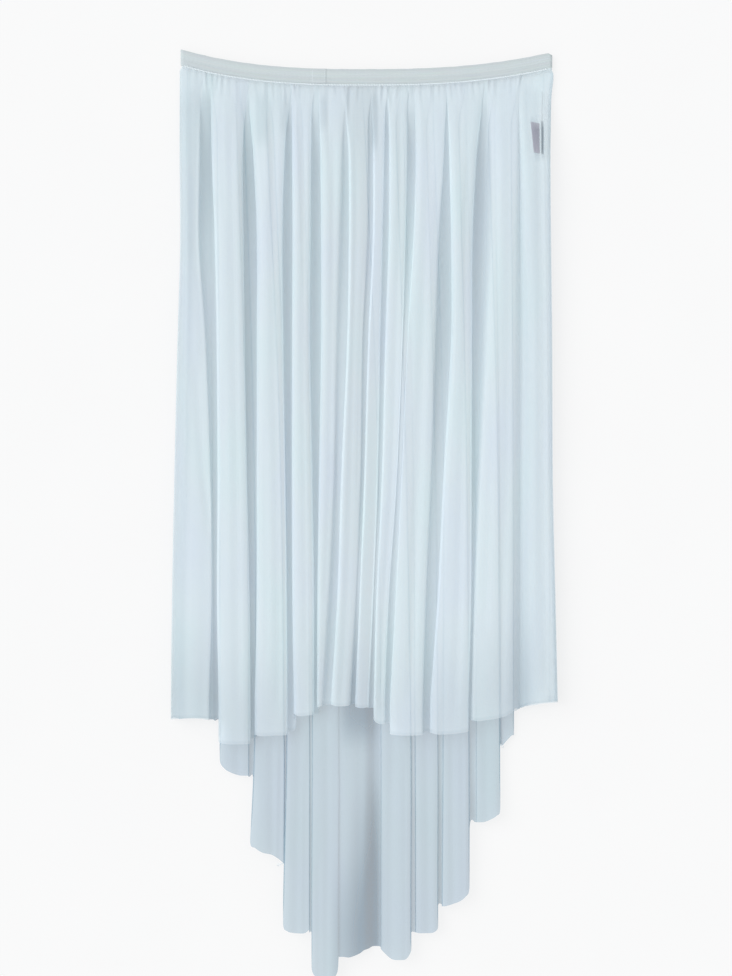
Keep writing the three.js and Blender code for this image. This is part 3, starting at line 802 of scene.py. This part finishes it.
# Painted shade in strips beside four puckers under the elastic, down the left side of the last fold
# and over one short stretch: (X, half width, top and bottom Y, how much), all in mm.
for x, half, high, low, much in (
    (-93, 6, 384, 335, 0.42), (-72, 5, 384, 345, 0.32), (-37, 3.5, 384, 348, 0.55),
    (9.5, 3, 384, 330, 0.7), (152, 7, 390, -190, 0.32), (-29, 4, 60, -60, 0.15),
):
    beside = np.exp(-(((front_x - x) / half) ** 4))
    between = ease(low - 8, low + 14, front_y) * (1 - ease(high - 10, high + 6, front_y))
    front_bunched_and_shade += much * beside * between
# The last 10 cm, down to the raw edge, are painted darker, more so away from the middle, and the
# raw edge itself more: painted shade towards the hem. The left side, where the seam's allowances
# lie under it, is painted darker too: painted shade along that side.
above_hem = front_y - front_y[:, -1:]
hem_shade_away_from_middle = ease(38, 95, np.abs(front_x + 5)) * (1 - ease(148, 160, front_x))
front_bunched_and_shade += (0.26 + 0.26 * hem_shade_away_from_middle) * (1 - ease(8, 112, above_hem)) + 0.3 * (above_hem < 2)
from_left = front_x - front_x[:1]
front_bunched_and_shade += 0.42 * (1 - ease(9, 17, from_left)) * ease(8, 40, waist_under)
gather(front_fine, 1, STRONG_GATHERS, 11)
front = cloth_object("front_mesh_panel", front_fine, True)


def stretch_mesh(name, tones, bunched_and_painted_shade, alpha):
    """Fine sheer stretch mesh in nylon: a soft dull cloth that shows what lies under it."""
    cloth = new_material(name)
    place = add_node(cloth, "UVMap", uv_map="cloth")
    # The dye drifts a little from lilac to aqua, in streaks 4 cm wide that run down the cloth.
    streaks = add_node(cloth, "Mapping", {"Scale": (26, 7, 1)}, {"Vector": place.outputs["UV"]})
    drift = add_node(
        cloth, "TexNoise", {"Scale": 1.0, "Detail": 3.0}, {"Vector": streaks.outputs["Vector"]},
    )
    dye = add_node(cloth, "ValToRGB", links={"Fac": drift.outputs["Fac"]})
    stops = dye.color_ramp.elements
    stops[0].position, stops[0].color = 0.3, linear(tones[0])
    stops[1].position, stops[1].color = 0.7, linear(tones[2])
    stops.new(0.5).color = linear(tones[1])
    # Where the gathered cloth lies double its layers deepen the dye, and the same attribute carries
    # painted shade: in hollows, under the elastic, beside folds, over the label and tape, near the
    # hem and on the back.
    depth = add_node(cloth, "Attribute", attribute_name="bunched_and_painted_shade")
    share = add_node(
        cloth, "Math", {1: 0.5}, {0: depth.outputs["Fac"]}, operation="MULTIPLY", use_clamp=True,
    )
    dyed = add_node(
        cloth, "MixRGB", {"Color2": linear(bunched_and_painted_shade)},
        {"Fac": share.outputs[0], "Color1": dye.outputs["Color"]},
    )
    # The knit is 0.6 mm fine; its wales and courses are drawn at 2.4 and 3 mm so as to show.
    wales = add_node(
        cloth, "TexWave", {"Scale": WAVE / 0.0024, "Distortion": 0.6, "Detail": 1.0},
        {"Vector": place.outputs["UV"]}, bands_direction="X",
    )
    courses = add_node(
        cloth, "TexWave", {"Scale": WAVE / 0.003, "Distortion": 0.8, "Detail": 1.0},
        {"Vector": place.outputs["UV"]}, bands_direction="Y",
    )
    knit = add_node(
        cloth, "Math", links={0: wales.outputs["Fac"], 1: courses.outputs["Fac"]}, operation="ADD",
    )
    relief = add_node(
        cloth, "Bump", {"Strength": 0.12, "Distance": 0.0002}, {"Height": knit.outputs[0]},
    )
    sheer = add_node(
        cloth, "BsdfPrincipled",
        {
            "Roughness": 0.62, "Specular IOR Level": 0.35, "Alpha": alpha,
            "Sheen Weight": 0.25, "Sheen Roughness": 0.4,
        },
        {"Base Color": dyed.outputs["Color"], "Normal": relief.outputs["Normal"]},
    )
    surface_from(cloth, sheer)
    return cloth


right_side = ("#e5f0fa", "#e8f4f9", "#e5f6f9")
front.data.materials.append(
    stretch_mesh("sheer nylon mesh, right side", right_side, "#8fa1ad", 0.52)
)
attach(front, "root")
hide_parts("front_panel")


# THE BACK PANEL. One piece of the same mesh, gathered to the elastic behind, with a raw hem
# cut down to a long point. It lies on the table wrong side up, in twelve folds.
BACK_LEVELS = [368, 76, -197, -351]
# Each fold: left and right edge at four levels, top points, hem, and how high it stands.
BACK_FOLDS = [
    ([-162, -166, -169, -169], [-142, -139, -137, -137], [0.9, 1, 1, 0.9],
     [-187, -186.5, -186, -186, -186.7, -187.7], 0.8),
    ([-135, -132.5, -132, -131], [-117, -108, -105.5, -105.5], [0.95, 1, 0.93, 0.87],
     [-225, -232, -235.5, -238, -238.5, -238.5], 0.9),
    ([-110.5, -101.5, -100.2, -106.5], [-89.5, -77, -73, -73], [0.93, 1, 0.93, 0.88],
     [-299, -304, -308, -310, -314, -318.5], 0.9),
    ([-84, -73, -71, -74], [-62, -53, -50, -50], [0.93, 0.98, 1.0, 0.98],
     [-374, -379.5, -381, -381.5, -381, -378], 0.95),
    ([-57, -48.5, -47.5, -48], [-35, -27, -24, -24], [0.98, 1, 0.97, 0.94],
     [-414, -421, -422, -422, -421.5, -417], 1.0),
    ([-30.5, -22, -22, -22], [-8.5, -0.5, 1, -0.5], [1.0, 0.95, 0.86, 0.7],
     [-403, -403, -403.5, -402, -400, -397.5], 0.85),
    ([-0.5, 11.5, 15, 15], [28.5, 37.5, 42.5, 42.5], [0.88, 0.93, 0.98, 1.03],
     [-396, -400.5, -405, -405.5, -404.5, -397], 1.0),
    ([35, 44, 46, 46.5], [56, 64, 67, 67], [0.97, 1, 0.98, 0.95],
     [-381, -381.5, -381.5, -381.5, -380.5, -376.5], 0.8),
    ([62.5, 71.5, 71.5, 70.5], [86, 93, 95.5, 95.5], [0.92, 0.94, 0.98, 1.02],
     [-357, -356.5, -355, -352.5, -348.5, -341], 0.95),
    ([92.5, 100.5, 102, 102], [112.5, 121.5, 123.5, 123.5], [0.85, 0.93, 0.99, 1.02],
     [-280.5, -280.5, -280, -277.5, -274.5, -269], 0.9),
    ([118.5, 122.5, 124.2, 124.2], [134, 136, 136.5, 136.5], [0.95, 1, 1, 0.95],
     [-211.5, -211, -208, -204.5, -202, -201], 0.45),
    ([141.5, 141.5, 141.5, 141.5], [164, 168, 169, 169], [0.9, 1, 1, 0.9],
     [-177, -175.2, -173.5, -172.5, -172, -171.7], 0.7),
]
# Each hollow: how far it sinks as a share, at the four levels, and then as on the front.
BACK_HOLLOWS = [
    ([1, 1, 1, 1], [0.2, 0.1], (0.4, 55, 55), -189),
    ([1, 1, 0.7, 0.6], [0.1, 0.1], (0.4, 44, 44), -240),
    ([1, 1, 0.5, 0.45], [0.0, 0.1], (0.4, 48, 48), -318),
    ([1, 1, 0.22, 0.2], [0.3, 0.3], (0.4, 40, 40), -381),
    ([1, 0.6, 0.1, 0.1], [0.6, 1.0], (0.4, 50, 50), -403),
    ([1, 1, 1, 1], [1.0, 0.1], (0.4, 36, 36), -395),
    ([1, 1, 0.35, 0.4], [0.1, 0.2], (0.4, 40, 40), -381),
    ([1, 1, 0.45, 0.5], [0.2, 0.1], (0.4, 46, 46), -356),
    ([1, 1, 0.6, 0.5], [0.1, 0.2], (0.4, 42, 42), -281),
    ([1, 1, 0.4, 0.4], [0.2, 0.2], (0.4, 54, 54), -211.5),
    ([1, 1, 1, 1], [0.1, 0.3], (0.4, 50, 50), -178.4),
]
# Heights over the table in mm: the lowest cloth, and a full fold's under and past the front.
BACK_LOW, UNDER_FRONT, OUT_IN_THE_OPEN = 0.25, 9, 14


def back_top(i, y):
    """The back's folds lie low under the front and rise where they come out from under it."""
    rise = UNDER_FRONT + (OUT_IN_THE_OPEN - UNDER_FRONT) * (1 - ease(-275, -232, y)) - BACK_LOW
    return BACK_LOW + rise * BACK_FOLDS[i][4]


def back_drop(i, y):
    """How far hollow i sinks beside its folds."""
    return (back_top(i, y) - BACK_LOW) * at_levels(BACK_LEVELS, BACK_HOLLOWS[i][0], y)


BACK = {
    "levels": BACK_LEVELS, "folds": [f[:4] for f in BACK_FOLDS], "hollows": BACK_HOLLOWS,
    "in_band": 2.05, "low": BACK_LOW, "low_after": 50, "outward": -1, "side_points": 3,
    "undercut": 0.9, "top": back_top, "drop": back_drop, "side_drop": 0.7 * 8.75,
}
back_grid = control_grid(BACK, 78)
back_spots, back_fine = fine_columns(back_grid, FINE_PITCH)
back_fold, back_share = across_fold(BACK, back_spots)
BACK_CREASES = [
    (1, [(-190, 0.6), (-238, 0.62)], 4, 1.2),
    (2, [(-170, 0.55), (-250, 0.6), (-310, 0.66)], 4, 1.6),
    (2, [(-230, 0.86), (-318, 0.84)], 2, 1.2), (3, [(-180, 0.55), (-380, 0.5)], 4, 1.3),
    (3, [(-250, 0.82), (-380, 0.82)], 2.2, 0.9),
    (4, [(-170, 0.55), (-300, 0.6), (-420, 0.55)], 3.5, 1.3),
    (4, [(-330, 0.25), (-420, 0.3)], 3, 1.0), (6, [(-190, 0.4), (-300, 0.3), (-400, 0.32)], 5, 1.5),
    (6, [(-240, 0.78), (-400, 0.8)], 2.4, 1.0), (7, [(-200, 0.5), (-380, 0.55)], 3.5, 1.2),
    (8, [(-190, 0.35), (-270, 0.36), (-350, 0.42)], 3.5, 1.4),
    (8, [(-220, 0.75), (-340, 0.78)], 2.4, 0.9), (9, [(-180, 0.4), (-275, 0.42)], 4, 1.3),
]
for which, path, wide, deep in BACK_CREASES:
    crease(BACK, back_fine, back_fold, back_share, which, path, wide, deep * 0.6)
curl_hem(back_fine, (0.7, 0.35, 0.1), 9)
gather(back_fine, -1, [], 23)
# The deep valley in the middle, where the cloth is tucked double down to the hem.
soften(back_fine, back_spots, 47, 62, 6)
back_x, back_y, back_z, back_bunched_and_shade = (back_fine[:, :, value] for value in range(4))
# Down the valley the cloth is painted darker, more towards the hem: partly cloth tucked double,
# partly painted shade in the valley.
across = back_x - (5.5 + 2.5 * ease(-200, -330, back_y))
down = ease(-215, -345, back_y)
past_front = ease(-120, -185, back_y)
reach = np.where(across < 0, 9 + 10 * down, 6.5)
valley = np.exp(-((across / reach) ** 2)) * past_front
# Under the middle of the front's hem the cloth is painted darker, down to 6 cm below it: a painted
# shadow of the front's hem.
notch_shadow = np.exp(-(((back_x + 5) / 17) ** 4)) * (1 - ease(-184, -222, back_y))
# Left of the valley the cloth is painted darker and darker down to the hem: painted shade.
low_middle_shade = ease(-300, -385, back_y) * ease(-34, -22, back_x) * (1 - ease(4, 12, back_x))
back_bunched_and_shade *= past_front
back_bunched_and_shade += valley * (0.4 + 1.5 * down) + 1.6 * notch_shadow + 0.75 * low_middle_shade
back_z[:] = np.maximum(back_z, BACK_LOW)
back = cloth_object("back_mesh_panel", back_fine, False)
# The same mesh as the front's, but painted much darker, with a deep teal for its darkening: painted
# shade on the back.
wrong_side_painted_shade = ("#99afc1", "#9ab2c0", "#96b2be")
back.data.materials.append(
    stretch_mesh("sheer nylon mesh, wrong side, painted shade", wrong_side_painted_shade, "#1c5f7c", 0.62)
)
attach(back, "root")
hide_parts("back_panel")


# THE CARE LABEL. A folded ribbon of purple-grey satin, caught in the right side seam, which
# lies between the panels and shows through the front. Its face is bare.
first_point = len(front_grid) - 8  # the first control column of the front's last fold


def front_height(x, y):
    """Height of the front panel's last fold at a place, from its control columns."""
    places, heights = [], []
    for column in front_grid[first_point + 1 :]:
        places.append(np.interp(-y, -column[:, 1], column[:, 0]))
        heights.append(np.interp(-y, -column[:, 1], column[:, 2]))
    return np.interp(x, places, heights)


label = flat_strip("care_label_ribbon", 12, 30)
for v in label.data.vertices:
    across, along = v.co.x + 0.5, v.co.y + 0.5
    left = 151.2 + 2.6 * (1 - along)
    x = left + (159.2 - left) * across
    y = LABEL_LOW + LABEL_LONG * along - 1.5 * across
    dip = 1.6 + 0.5 * np.sin(across * 5 + along * 3) + 0.5 * (1 - across)
    v.co = (x * MM, y * MM, (float(front_height(x, y)) - dip) * MM)
RIBBON_THICK = 0.5  # mm, folded double
thicken(label, RIBBON_THICK)


def satin_ribbon(name, low, high):
    """Woven polyester satin: smooth, with a soft gloss, and fine ribs of weft across it."""
    satin = new_material(name)
    place = add_node(satin, "TexCoord")
    fine_weft = add_node(
        satin, "TexWave", {"Scale": WAVE / 0.0014}, {"Vector": place.outputs["Object"]},
        bands_direction="Y",
    )
    hue = add_node(satin, "ValToRGB", links={"Fac": fine_weft.outputs["Fac"]})
    hue.color_ramp.elements[0].color = linear(low)
    hue.color_ramp.elements[1].color = linear(high)
    glossy = {"Roughness": 0.42, "Specular IOR Level": 0.5}
    surface_from(
        satin, add_node(satin, "BsdfPrincipled", glossy, {"Base Color": hue.outputs["Color"]}),
    )
    return satin


label.data.materials.append(satin_ribbon("woven satin ribbon", "#763a68", "#80426f"))
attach(label, "root")
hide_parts("care_label")


# THE LABEL'S EDGE AND TAPE. Where the folded ribbon is caught in the seam its edge is doubled,
# and a narrow tape of the same ribbon runs up from it to the elastic.
TAPE_TOP, TAPE_LONG = 385.0, 58.0
# Its middle wanders a little: X at thirteen places from the top down.
tape_x = [162.0 - 0.5 * k / 12 + 0.15 * np.sin(k) for k in range(13)]
tape_y = [TAPE_TOP - TAPE_LONG * k / 12 for k in range(13)]
tape = flat_strip("care_label_tape", 3, 48)
for v in tape.data.vertices:
    across, along = v.co.x, 0.5 - v.co.y
    y = TAPE_TOP - TAPE_LONG * along
    x = float(np.interp(-y, -np.array(tape_y), tape_x))
    broad = 0.5 + 1.6 * float(ease(0.46, 0.5, along))
    v.co = ((x + across * broad) * MM, y * MM, (float(front_height(x, y)) - 1.0) * MM)
thicken(tape, RIBBON_THICK)
tape.data.materials.append(satin_ribbon("woven satin ribbon, doubled", "#1c1430", "#241a38"))
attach(tape, "root")


# THE SIDE SEAM ALLOWANCES. 10 mm of both panels' mesh, overlocked together, that lies inside
# along each side and shows faintly through the front.
ALLOWANCE, STRIP_TOP, OVERLOCK_TOP, OVERLOCK_STEPS = 10, 388.0, 387.0, 280


def seam_allowance(name, outer_column, inward, hem_y, doubled_mesh):
    """A strip of doubled mesh along a side seam, a little wavy, just under the front."""
    edge = front_fine[outer_column]

    def at_edge(y):
        """X and height of the front's outermost column."""
        return [float(np.interp(-y, -edge[:, 1], edge[:, value])) for value in (0, 2)]

    strip = flat_strip(name, 5, 140)
    for v in strip.data.vertices:
        across, along = v.co.x + 0.5, 0.5 - v.co.y
        y = STRIP_TOP + (hem_y - STRIP_TOP) * along
        outer, high = at_edge(y)
        wave = 0.5 * np.sin(y * 0.11 + 2 * across) * (1 - across)
        x = outer + inward * ((1 - across) * ALLOWANCE + 0.6 + wave)
        v.co = (x * MM, y * MM, (high - 0.6 + 0.25 * wave) * MM)
    if inward > 0:
        strip.data.flip_normals()
    bpy.ops.object.shade_smooth()
    strip.data.uv_layers[0].name = "cloth"
    for corner, loop in zip(strip.data.uv_layers["cloth"].data, strip.data.loops):
        place = strip.data.vertices[loop.vertex_index].co
        corner.uv = (place.x, place.y)
    strip.data.materials.append(doubled_mesh)
    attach(strip, "root")
    loops = []
    for k in range(OVERLOCK_STEPS + 1):
        y = OVERLOCK_TOP + (hem_y + 2 - OVERLOCK_TOP) * k / OVERLOCK_STEPS
        outer, high = at_edge(y)
        loops.append((outer + inward * (10.4 if k % 2 else 8.0), y, high - 0.3))
    overlock = sewn_line(name + "_overlock", loops, 0.25)
    overlock.data.materials.append(spun_thread)
    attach(overlock, "root")


# On the right the doubled mesh is painted lighter and less sheer: a painted highlight where it
# catches more of the light.
doubled = ("#dfe8f4", "#e2edf4", "#dfeff3")
whiter = ("#f1f6fb", "#f3f9fc", "#f1fafb")
seam_allowance(
    "side_seam_left", 0, 1, -182.0,
    stretch_mesh("sheer nylon mesh, doubled", doubled, "#8fa1ad", 0.15),
)
seam_allowance(
    "side_seam_right", len(front_fine) - 1, -1, -166.0,
    stretch_mesh("sheer nylon mesh, doubled, painted highlight", whiter, "#8fa1ad", 0.3),
)


# THE LOOSE ENDS. Two raveled ends of thread at the back's raw hem, as the shears left them.
for name, path in (
    ("loose_thread_right", [
        (124.5, -209.5, 8.5), (124.8, -211.3, 8.0), (125.3, -212.6, 7.2),
        (126.4, -213.2, 6.6), (127.0, -212.4, 6.2), (126.3, -211.8, 5.8),
    ]),
    ("loose_thread_left", [
        (-73.2, -316.5, 6.0), (-74.6, -318.6, 5.6), (-76.4, -319.6, 5.0), (-78.4, -319.2, 4.4),
        (-79.6, -320.4, 3.8), (-78.6, -321.4, 3.4), (-76.9, -320.9, 3.0),
    ]),
):
    thread = sewn_line(name, path, 0.55)
    thread.data.materials.append(spun_thread)
    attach(thread, "root")
